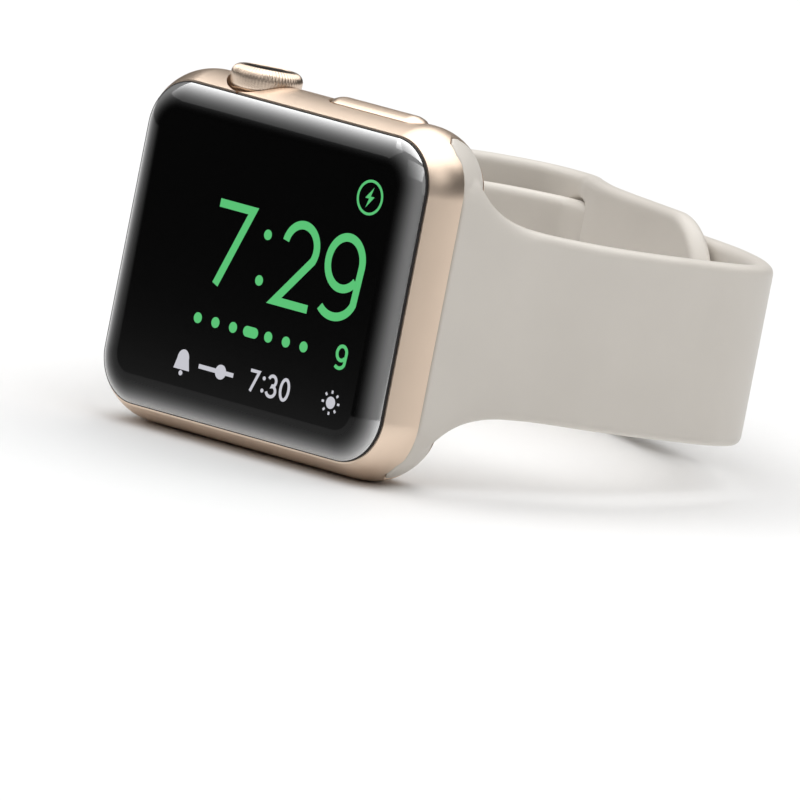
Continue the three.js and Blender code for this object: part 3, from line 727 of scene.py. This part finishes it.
def make_release_buttons():
    for hour, side in ((12, -1), (6, 1)):
        button = release_pill()
        turn = Matrix(((0, 1, 0, side * RELEASE["u"]), (1, 0, 0, 0), (0, 0, -1, 0), (0, 0, 0, 1)))
        button.data.transform(turn)
        point_out(button)
        smooth_shade(button)
        names = f"release_pill_{hour}", f"release_{hour}"
        finish_piece(button, *names, "case_aluminium", f"release_button_{hour}")


# ---- back ----


def dome_height(radius):
    """The crystal's N at a radius: a shallow dome from its rim to its apex."""
    rise = CRYSTAL["rim_n"] - CRYSTAL["apex_n"]
    sphere = (CRYSTAL["radius"] ** 2 + rise**2) / (2 * rise)
    return CRYSTAL["apex_n"] + sphere - math.sqrt(sphere**2 - radius**2)


BEHIND_BACK = -11
COVER_EDGE = ((0.0, 0.15), (0.03, 0.07), (0.08, 0.02), (0.16, 0.0))


def make_back_cover():
    """The back plate, with an eased outer edge and a round opening for the crystal."""
    c = BACK_COVER
    rings = []
    edge = [(inset, c["outer_n"] + up) for inset, up in COVER_EDGE]
    for inset, n in ((0.0, c["inner_n"]), *edge):
        halves = c["half_u"] - inset, c["half_w"] - inset
        rings.append([(u, w, n) for u, w in rounded_rectangle(*halves, c["corner"] - inset, 20)])
    cover = loft("cover", rings)
    opening = circle(CRYSTAL["radius"] + CRYSTAL["gap"], 128)
    cut(cover, prism(opening, BEHIND_BACK, c["inner_n"] + 0.5))
    bevel(cover, 0.05)
    smooth_shade(cover)
    finish_piece(cover, "rear_cover", "case", "back_ceramic", "back_cover")


def make_back_crystal():
    """The domed crystal, with a ring of lenses let into it."""
    radius = CRYSTAL["radius"]
    profile = [(0, CRYSTAL["inner_n"]), (radius, CRYSTAL["inner_n"]), (radius, CRYSTAL["side_n"])]
    profile += [(r, dome_height(r)) for r in np.linspace(radius - 0.06, 0.4, 24)]
    profile += [(0, dome_height(0))]
    dome = turned("dome", profile, "n", count=128)
    for i in range(WINDOW["count"]):
        angle = 2 * math.pi * i / WINDOW["count"]
        at = (WINDOW["ring"] * math.cos(angle), WINDOW["ring"] * math.sin(angle), 0)
        lens = copy_of(dome)
        inside = prism(circle(WINDOW["radius"], 64), BEHIND_BACK, WINDOW["inner_n"], "n", at)
        combine(lens, inside, "INTERSECT")
        bevel(lens, 0.04)
        smooth_shade(lens)
        finish_piece(lens, f"sensor_lens_{i + 1}", "case", "sensor_glass", f"sensor_window_{i + 1}")
        pocket = circle(WINDOW["radius"] + WINDOW["gap"], 64)
        cut(dome, prism(pocket, BEHIND_BACK, WINDOW["pocket_n"], "n", at))
    bevel(dome, 0.03, 1)
    smooth_shade(dome)
    finish_piece(dome, "rear_crystal", "case", "crystal", "back_crystal")


# ---- strap ----

REAR_SLOPE = 0.4
REAR_U = 6
REAR_N = -56.8
LAYER = STRAP["thickness"] + STRAP["gap"]


def rear(u, inward):
    """A point on the loop's straight rear stretch, moved into the loop by a distance."""
    scale = 1 / math.hypot(1, REAR_SLOPE)
    return (u - inward * REAR_SLOPE * scale, REAR_N + REAR_SLOPE * (u - REAR_U) + inward * scale)


LONG_LINE = [
    (21.25, -4), (22.55, -8), (25.3, -15), (28.3, -20.4), (29.9, -26), (30.45, -32), (30.6, -37.5),
    (28.9, -42.6), (24.6, -47.2), rear(16, 0), rear(6, 0), rear(-4, 0), rear(-9, 0.3),
    rear(-13.5, LAYER / 2), rear(-18, LAYER - 0.3),
    (-22.2, -62.6), (-25.4, -59.6), (-27.6, -54.5), (-28.7, -49), (-29, -44),
]
SHORT_LINE = [
    (-21.25, -4), (-22.55, -8), (-25.6, -16), (-29, -26), (-31.2, -38), (-31.7, -48), (-31, -56),
    (-28.6, -62.2), (-24.6, -66), rear(-18, 0.3), rear(-13.5, LAYER / 2), rear(-9, LAYER - 0.3),
    rear(-4, LAYER), rear(6, LAYER), rear(16.5, LAYER + 0.2),
]


def mix(a, b, t):
    return (1 - t) * a + t * b


class Line:
    """A centripetal Catmull-Rom curve in U and N, measured by its length."""

    def __init__(self, points):
        p = [np.array(point, float) for point in points]
        p = [2 * p[0] - p[1], *p, 2 * p[-1] - p[-2]]
        samples = []
        parts = np.linspace(0, 1, 60, endpoint=False)
        for i in range(1, len(p) - 2):
            samples += [self.between(p[i - 1:i + 3], t) for t in parts]
        samples.append(p[-2])
        self.points = np.array(samples)
        steps = np.linalg.norm(np.diff(self.points, axis=0), axis=1)
        self.at = np.concatenate([[0], np.cumsum(steps)])
        self.length = self.at[-1]

    @staticmethod
    def between(p, t):
        """The curve from p[1] to p[2], with knots spaced by the root of the points' distances."""
        knots = [0.0]
        for a, b in zip(p, p[1:]):
            knots.append(knots[-1] + math.sqrt(np.linalg.norm(b - a)))
        x = knots[1] + t * (knots[2] - knots[1])
        level = list(p)
        for span in (1, 2):
            level = [
                mix(level[i], level[i + 1], (x - knots[i]) / (knots[i + span] - knots[i]))
                for i in range(len(level) - 1)
            ]
        return mix(level[0], level[1], (x - knots[1]) / (knots[2] - knots[1]))

    def point(self, distance):
        """The curve's point at a distance from its start."""
        return np.array([np.interp(distance, self.at, self.points[:, k]) for k in (0, 1)])

    def tangent(self, distance):
        """The curve's direction at a distance from its start."""
        ahead = self.point(min(distance + 0.2, self.length))
        behind = self.point(max(distance - 0.2, 0))
        return (ahead - behind) / np.linalg.norm(ahead - behind)


def half_width(line, distance, shape):
    """Half the strap's width: a flare at the case, a slight taper and a tip with round corners."""
    flare = min(FLARE["reach"] * math.exp(-distance / FLARE["fade"]), FLARE["most"])
    along = smooth(distance, shape["taper_from"], shape["taper_to"])
    taper = (shape["end"] - shape["middle"]) * along
    tip = shape["tip"]
    from_tip = max(tip - (line.length - distance), 0)
    return shape["middle"] + flare + taper - tip + math.sqrt(max(tip**2 - from_tip**2, 0.2))


def strap_thickness(distance):
    """The strap is thinner at its root, beside the case."""
    return STRAP["root"] + (STRAP["thickness"] - STRAP["root"]) * smooth(distance, 5, 11)


EDGE_STEPS = 8


def strap_section(half, thickness, edge, outer_edge):
    """A strap's section across its width: each point is a width and a depth below the outer face.
    Its outer edges can be eased further than its inner ones."""
    points = []
    outer_drop = thickness - edge - 0.02
    for angle in np.radians(np.linspace(90, 0, EDGE_STEPS)):
        drop = min(outer_edge, outer_drop)
        points.append((half - outer_edge * (1 - math.cos(angle)), drop * (1 - math.sin(angle))))
    for angle in np.radians(np.linspace(0, 90, EDGE_STEPS)):
        eased = edge * (1 - math.cos(angle)), edge * (1 - math.sin(angle))
        points.append((half - eased[0], thickness - eased[1]))
    mirrored = [(-width, depth) for width, depth in reversed(points)]
    spread = np.linspace(1, -1, 11)[1:-1]
    under = [(points[-1][0] * s, thickness) for s in spread]
    over = [(points[0][0] * -s, 0.0) for s in spread]
    return points + under + mirrored + over


def corner_drop(width):
    """How far the case's side curves back from its straight part at a place across the strap."""
    radius = SHELL["corner"] + SHELL["side"]
    beyond = max(abs(width) - (SHELL["half_w"] - SHELL["corner"]), 0)
    return radius - math.sqrt(radius**2 - beyond**2)


EDGE = 0.95
ROOT_EASING = 3.4
STATION_STEP = 0.5


def ribbon(line, side, shape, start=0.0, clearance=0.0):
    """A strap lofted along its line. side is 1 where the loop's inside is to the line's right."""
    end = line.length
    tip_angles = np.linspace(0.0, math.pi / 2, 26)
    near_tip = [end - shape["tip"] * (1 - math.sin(angle)) for angle in tip_angles]
    before_tip = np.arange(start, end - shape["tip"] - STATION_STEP / 2, STATION_STEP)
    stations = np.concatenate([before_tip, near_tip])
    rings = []
    for distance in stations:
        tangent = line.tangent(distance)
        inward = np.array([tangent[1], -tangent[0]]) * side
        point = line.point(distance)
        thickness = strap_thickness(distance)
        root = 1 - smooth(distance, 1.0, 11.0)
        half = half_width(line, distance, shape)
        full = smooth(end - distance, -0.3, 1.1)
        ring = []
        for width, depth in strap_section(half, thickness, EDGE, EDGE + ROOT_EASING * root):
            middle = thickness / 2
            depth = middle + (depth - middle) * (0.5 + 0.5 * full)
            depth += clearance * np.sign(depth - middle) + corner_drop(width) * root
            place = point + inward * depth
            ring.append((place[0], width + clearance * np.sign(width), place[1]))
        rings.append(ring)
    return loft("ribbon", rings)


def face_matrix(line, side, distance):
    """Stands a shape drawn along its own Z on a strap's outer face, Z pointing out of the loop."""
    tangent = line.tangent(distance)
    outward = -np.array([tangent[1], -tangent[0]]) * side
    out = Vector((outward[0], 0, outward[1]))
    along = Vector((tangent[0], 0, tangent[1]))
    point = line.point(distance)
    turn = Matrix((along, out.cross(along), out)).transposed().to_4x4()
    return Matrix.Translation((point[0], 0, point[1])) @ turn


def on_strap(obj, matrix):
    """Places a shape by a matrix from face_matrix."""
    obj.data.transform(matrix)
    point_out(obj)
    return obj


def make_lug(side):
    """The strap's end: it fills its slot, flush with the case, with a pocket for its core."""
    lug = prism(slot_outline(LUG_FIT, MOUTH_FILL_U), -OUTSIDE, OUTSIDE, "w")
    combine(lug, shell_between("envelope", -9.6, 1.0, 40, inset=0.03), "INTERSECT")
    half = CORE["half_length"]
    cut(lug, block((CORE["from_u"], -half, CORE["from_n"]), (CORE["to_u"], half, CORE["to_n"])))
    return lug if side > 0 else mirror_u(lug)


VOXEL = 0.22
RELAX_ROUNDS = 4


def soften(obj):
    """Rebuilds a moulded piece as one even skin and rounds its sharp edges a little."""
    modifier = obj.modifiers.new("skin", "REMESH")
    modifier.mode = "VOXEL"
    modifier.voxel_size = VOXEL
    settle(obj)
    modifier = obj.modifiers.new("relax", "SMOOTH")
    modifier.factor = 0.5
    modifier.iterations = RELAX_ROUNDS
    settle(obj)
    obj.data.shade_smooth()
    return obj


LONG_CURVE, SHORT_CURVE = Line(LONG_LINE), Line(SHORT_LINE)
CLASP = face_matrix(LONG_CURVE, 1, CLASP_DISTANCE)
PIN_BASE_LOW = -LAYER - STRAP["thickness"]
PIN_BASE_TOP = PIN_BASE_LOW + PIN["base_height"]
TUCK = dict(start=70, clearance=0.24)


def make_straps():
    """The strap with holes, and the one with the pin, which gives way to the tucked end."""
    long_strap = ribbon(LONG_CURVE, 1, LONG)
    combine(long_strap, make_lug(1), "UNION")
    hole = pill(HOLE["radius"] + HOLE["longer"], HOLE["radius"], 12)
    for i in range(-HOLE["before"], HOLE["after"] + 1):
        matrix = face_matrix(LONG_CURVE, 1, CLASP_DISTANCE + i * HOLE["pitch"])
        cut(long_strap, on_strap(prism(hole, -5, 1), matrix))
    soften(long_strap)
    finish_piece(long_strap, "strap_holes_side", "band", "strap_rubber", "strap_long")

    short_strap = ribbon(SHORT_CURVE, -1, SHORT)
    combine(short_strap, make_lug(-1), "UNION")
    cut(short_strap, ribbon(LONG_CURVE, 1, LONG, **TUCK))
    shank, base = circle(PIN["radius"] + PIN["gap"]), circle(PIN["base"] + PIN["gap"])
    cut(short_strap, on_strap(prism(shank, -8, -1), CLASP))
    cut(short_strap, on_strap(prism(base, -9, PIN_BASE_TOP + 0.1), CLASP))
    soften(short_strap)
    finish_piece(short_strap, "strap_pin_side", "band", "strap_rubber", "strap_short")


def make_pin():
    """The clasp's stud: a broad base in the inner strap, a shank and a round head."""
    base, radius, head = PIN["base"], PIN["radius"], PIN["head"]
    base_edge, under_edge, crown_edge = 0.2, 0.25, 0.45
    under_head = PIN["head_low"]
    side_top = PIN["head_low"] + 0.4
    profile = [(0, PIN_BASE_LOW), (base - base_edge, PIN_BASE_LOW)]
    profile += arc((base - base_edge, PIN_BASE_LOW + base_edge), base_edge, -90, 0, 5)[1:]
    profile += [(base, PIN_BASE_TOP), (radius, PIN_BASE_TOP)]
    profile += [(radius, under_head), (head - under_edge, under_head)]
    profile += arc((head - under_edge, under_head + under_edge), under_edge, -90, 0, 5)[1:]
    profile += arc((head - crown_edge, side_top), crown_edge, 0, 80, 7)
    profile += [(1.0, side_top + 0.48), (0, side_top + 0.5)]
    pin = on_strap(turned("pin", profile, "n", count=72), CLASP)
    smooth_shade(pin, 40)
    finish_piece(pin, "clasp_stud", "band", "pin_metal", "strap_pin")


# ---- lit figures ----
# They lie on the glass, which is opaque here, so that they show.

FIGURE_N = TOP_N + 0.004
FIGURE_HEIGHT = 0.02


def oval(centre, size, start, end, count=28):
    """Points on an upright oval, from one angle to another in degrees."""
    angles = np.radians(np.linspace(start, end, count))
    return [(centre[0] + size[0] * math.cos(a), centre[1] + size[1] * math.sin(a)) for a in angles]


# Each digit is a path in a box 0.6 wide and 1 high.
DIGITS = {
    "0": oval((0.3, 0.5), (0.27, 0.5), 90, 450, 56)[:-1],
    "2": oval((0.3, 0.72), (0.27, 0.28), 172, -28) + [(0.02, 0.0), (0.6, 0.0)],
    "3": oval((0.27, 0.745), (0.25, 0.255), 160, -80) + oval((0.27, 0.255), (0.3, 0.265), 80, -165),
    "7": [(0.0, 1.0), (0.58, 1.0), (0.17, 0.0)],
    "9": (
        oval((0.24, 0.3), (0.33, 0.3), -135, -20, 14)
        + oval((0.29, 0.68), (0.29, 0.32), -8, 322, 44)
    ),
}
CLOSED_DIGITS = ("0",)
COLON_HEIGHTS = (0.22, 0.74)
BEFORE_COLON, AFTER_COLON = 0.09, 0.26


def stroke(path, width, closed=False):
    """A flat band of even width along a path, as a closed solid."""
    path = np.array(path, float)
    ahead = np.roll(path, -1, axis=0) - path
    behind = path - np.roll(path, 1, axis=0)
    if not closed:
        ahead[-1] = behind[-1]
        behind[0] = ahead[0]
    ahead /= np.linalg.norm(ahead, axis=1)[:, None]
    behind /= np.linalg.norm(behind, axis=1)[:, None]
    normal = np.stack([-(ahead + behind)[:, 1], (ahead + behind)[:, 0]], 1)
    normal /= np.linalg.norm(normal, axis=1)[:, None]
    miter = 1 / np.clip(normal[:, 0] * -ahead[:, 1] + normal[:, 1] * ahead[:, 0], 0.35, 1)
    left = path + normal * (miter * width / 2)[:, None]
    right = path - normal * (miter * width / 2)[:, None]
    low, high = FIGURE_N, FIGURE_N + FIGURE_HEIGHT
    rings = [[(*a, low), (*b, low), (*b, high), (*a, high)] for a, b in zip(left, right)]
    return loft("stroke", rings, closed=closed)


def patch(outline):
    """A flat patch on the glass."""
    return prism(outline, FIGURE_N, FIGURE_N + FIGURE_HEIGHT)


def draw(text, left, base, height, advance, width):
    """Digits and colons in a row, from a left edge and a base line. advance is in heights."""
    pieces = []
    pen = left + width / 2
    size = height - width
    for sign in text:
        if sign == ":":
            pen += BEFORE_COLON * height
            for level in COLON_HEIGHTS:
                pieces.append(patch(circle(width * 0.62, 20) + (pen, base + level * height)))
            pen += AFTER_COLON * height
        else:
            path = [(pen + x * size, base + width / 2 + y * size) for x, y in DIGITS[sign]]
            pieces.append(stroke(path, width, sign in CLOSED_DIGITS))
            pen += advance * height
    return pieces


def join(pieces, name, material):
    """Makes one lit piece of many."""
    target = pieces[0]
    bm = bmesh.new()
    for piece in pieces:
        bm.from_mesh(piece.data)
    bm.to_mesh(target.data)
    bm.free()
    for piece in pieces[1:]:
        bpy.data.objects.remove(piece)
    finish_piece(target, name, "case", "display", material=material)


TIME = dict(left=-6.9, base=-2.9, height=9.0, advance=0.715, width=0.86)
DATE = dict(left=13.0, base=-7.5, height=2.6, advance=0.74, width=0.36)
ALARM_TIME = dict(left=1.9, base=-12.1, height=2.4, advance=0.74, width=0.33)
CHARGE = dict(at=(13.5, 10.1), radius=1.66, width=0.27)
BOLT = [(0.35, 1.05), (-0.62, -0.12), (-0.08, -0.12), (-0.35, -1.05), (0.62, 0.12), (0.08, 0.12)]
WEEK = dict(left=-6.5, at=-6.2, step=2.5, radius=0.55, day=3, longer=1.9)
BELL = dict(
    at=(-7.4, -10.9), dome=(0.8, 0.95), rise=0.3, brim=1.1, drop=0.8, clapper=0.26, hang=1.15,
)
SLIDER = dict(at=-10.9, start=-5.1, end=-0.2, width=0.45, knob_at=-2.0, knob=0.75)
SUN = dict(at=(13.6, -10.9), radius=0.62, rays=8, ray_from=1.5, ray_to=2.0, width=0.24)


def charge_mark():
    """A bolt in a ring."""
    ring = circle(CHARGE["radius"], 48) + CHARGE["at"]
    return [stroke(ring, CHARGE["width"], closed=True), patch(np.array(BOLT) + CHARGE["at"])]


def week_dots():
    """A dot for each day of the week, the current one longer."""
    dots = []
    for day in range(7):
        middle = (WEEK["left"] + WEEK["step"] * day, WEEK["at"])
        stretch = WEEK["longer"] if day == WEEK["day"] else 1.001
        dots.append(patch(pill(WEEK["radius"] * stretch, WEEK["radius"], 6) + middle))
    return dots


def bell_mark():
    u, w = BELL["at"]
    dome = oval((u, w + BELL["rise"]), BELL["dome"], 0, 180, 16)
    brim = [(u - BELL["brim"], w - BELL["drop"]), (u + BELL["brim"], w - BELL["drop"])]
    return [patch(dome + brim), patch(circle(BELL["clapper"], 16) + (u, w - BELL["hang"]))]


def slider_mark():
    track = [(SLIDER["start"], SLIDER["at"]), (SLIDER["end"], SLIDER["at"])]
    knob = circle(SLIDER["knob"], 24) + (SLIDER["knob_at"], SLIDER["at"])
    return [stroke(track, SLIDER["width"]), patch(knob)]


def sun_mark():
    """A disc with short rays."""
    marks = [patch(circle(SUN["radius"], 24) + SUN["at"])]
    for ray in range(SUN["rays"]):
        turn = 2 * math.pi * ray / SUN["rays"]
        out = np.array([math.cos(turn), math.sin(turn)]) * SUN["radius"]
        ends = [out * reach + SUN["at"] for reach in (SUN["ray_from"], SUN["ray_to"])]
        marks.append(stroke(ends, SUN["width"]))
    return marks


def make_figures():
    time = draw("7:29", **TIME) + charge_mark() + week_dots() + draw("9", **DATE)
    join(time, "lit_time", LIT_GREEN)
    alarm = bell_mark() + slider_mark() + draw("7:30", **ALARM_TIME) + sun_mark()
    join(alarm, "lit_alarm", LIT_WHITE)


# ---- studio ----

# The camera's axes and its aim are in the watch's own axes.
VIEW_UP = (-0.1973, 0.9779, 0.0700)
VIEW_BACK = (0.6757, 0.0838, 0.7323)
VIEW_CENTRE = (12.24, -10.07, -10.11)
VIEW_WIDTH = 80.4
LENS = 1500.0
SENSOR = 36.0
CLIP_END = 20
FLOOR_HALF = 3


def watch_direction(parts):
    """A direction in the watch's own axes, as one in the frame."""
    return (parts[0] * U_AXIS + parts[1] * W_AXIS + parts[2] * N_AXIS).normalized()


def make_camera():
    """A long lens at the chosen angle to the watch, framing it at a set width."""
    data = bpy.data.cameras.new("camera")
    data.lens = LENS
    data.sensor_width = SENSOR
    data.clip_end = CLIP_END
    camera = bpy.data.objects.new("camera", data)
    bpy.context.scene.collection.objects.link(camera)
    back = watch_direction(VIEW_BACK)
    up = watch_direction(VIEW_UP)
    right = up.cross(back).normalized()
    up = back.cross(right)
    distance = VIEW_WIDTH * MM * LENS / SENSOR
    centre = WATCH_TO_WORLD @ Vector(VIEW_CENTRE)
    turn = Matrix((right, up, back)).transposed().to_4x4()
    camera.matrix_world = Matrix.Translation(centre + back * distance) @ turn
    bpy.context.scene.camera = camera


def make_floor():
    corners = [(x * FLOOR_HALF, y * FLOOR_HALF, 0) for x, y in ((-1, -1), (1, -1), (1, 1), (-1, 1))]
    floor = new_object("floor", corners, [(0, 1, 2, 3)])
    material = finish(
        "pale_floor", (0.86, 0.86, 0.86), 0.55, spread=0.005, grain=800, bump=0.0, cloud=3,
    )
    floor.data.materials.append(material)


def softbox(name, direction, distance, size, radiance):
    """A rectangular light that faces the watch from a direction, with an even glow."""
    data = bpy.data.lights.new(name, "AREA")
    data.shape = "RECTANGLE"
    data.size, data.size_y = size
    data.energy = radiance * size[0] * size[1] * math.pi
    lamp = bpy.data.objects.new(name, data)
    bpy.context.scene.collection.objects.link(lamp)
    away = Vector(direction).normalized()
    lamp.location = away * distance
    lamp.rotation_euler = away.to_track_quat("Z", "Y").to_euler()


def make_lights():
    softbox("overhead", (0, 0.15, 1), 1.5, (2.6, 2.6), 2.2)
    softbox("upper_left", (-0.676, -0.35, 0.62), 1.6, (1.2, 0.9), 1.9)
    softbox("right_panel", (0.80, -0.42, 0.40), 1.6, (1.4, 1.15), 0.16)
    softbox("corner_panel", (0.82, -0.10, 0.60), 1.6, (0.9, 0.6), 1.0)
    softbox("high_fill", (0.24, -0.76, 0.60), 1.8, (1.2, 0.8), 0.9)
    world = bpy.data.worlds.new("studio")
    world.use_nodes = True
    background = world.node_tree.nodes["Background"]
    background.inputs["Color"].default_value = (1, 1, 1, 1)
    background.inputs["Strength"].default_value = 0.03
    bpy.context.scene.world = world
    bpy.context.scene.view_settings.view_transform = "Standard"


dress_frame()
make_camera()
make_case()
make_glass()
make_seal()
make_crown()
make_crown_insert()
make_side_button()
make_release_buttons()
make_back_cover()
make_back_crystal()
make_straps()
make_pin()
make_figures()
make_floor()
make_lights()
